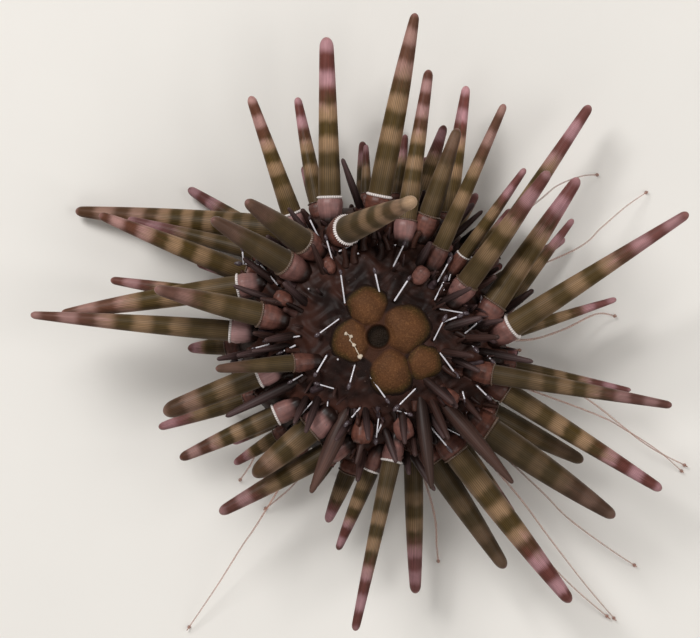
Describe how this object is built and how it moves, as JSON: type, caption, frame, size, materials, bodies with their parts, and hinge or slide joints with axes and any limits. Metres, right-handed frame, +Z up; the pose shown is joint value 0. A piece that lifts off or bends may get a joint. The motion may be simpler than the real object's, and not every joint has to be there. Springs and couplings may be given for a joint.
{
  "type": "parasaleniid sea urchin",
  "caption": "Small oval sea urchin with stout tapering banded spines all round, swollen plates round the anus, standing on its lower spines.",
  "frame": {"origin": "on the floor, under the middle of the whole animal's footprint, spine tips included", "axes": "+Z up out of the anus, mouth down; +X along the shell's slightly longer axis, to the right in the picture; +Y to the top of the picture"},
  "size_m": [0.0574, 0.054, 0.0228],
  "materials": {
    "spines": "olive, pale brown and mauve bands on faintly ribbed spines, satin",
    "anal_plates": "orange-brown granular skin, damp",
    "skin": "very dark brown skin, damp"
  },
  "bodies": {
    "root": {"ambulacrum_1": "spines", "ambulacrum_2": "spines", "ambulacrum_3": "spines", "ambulacrum_4": "spines", "ambulacrum_5": "spines", "interambulacrum_1": "spines", "interambulacrum_2": "spines", "interambulacrum_3": "spines", "interambulacrum_4": "spines", "interambulacrum_5": "spines", "apical_disc": "anal_plates", "peristome": "skin"}
  },
  "joints": []
}
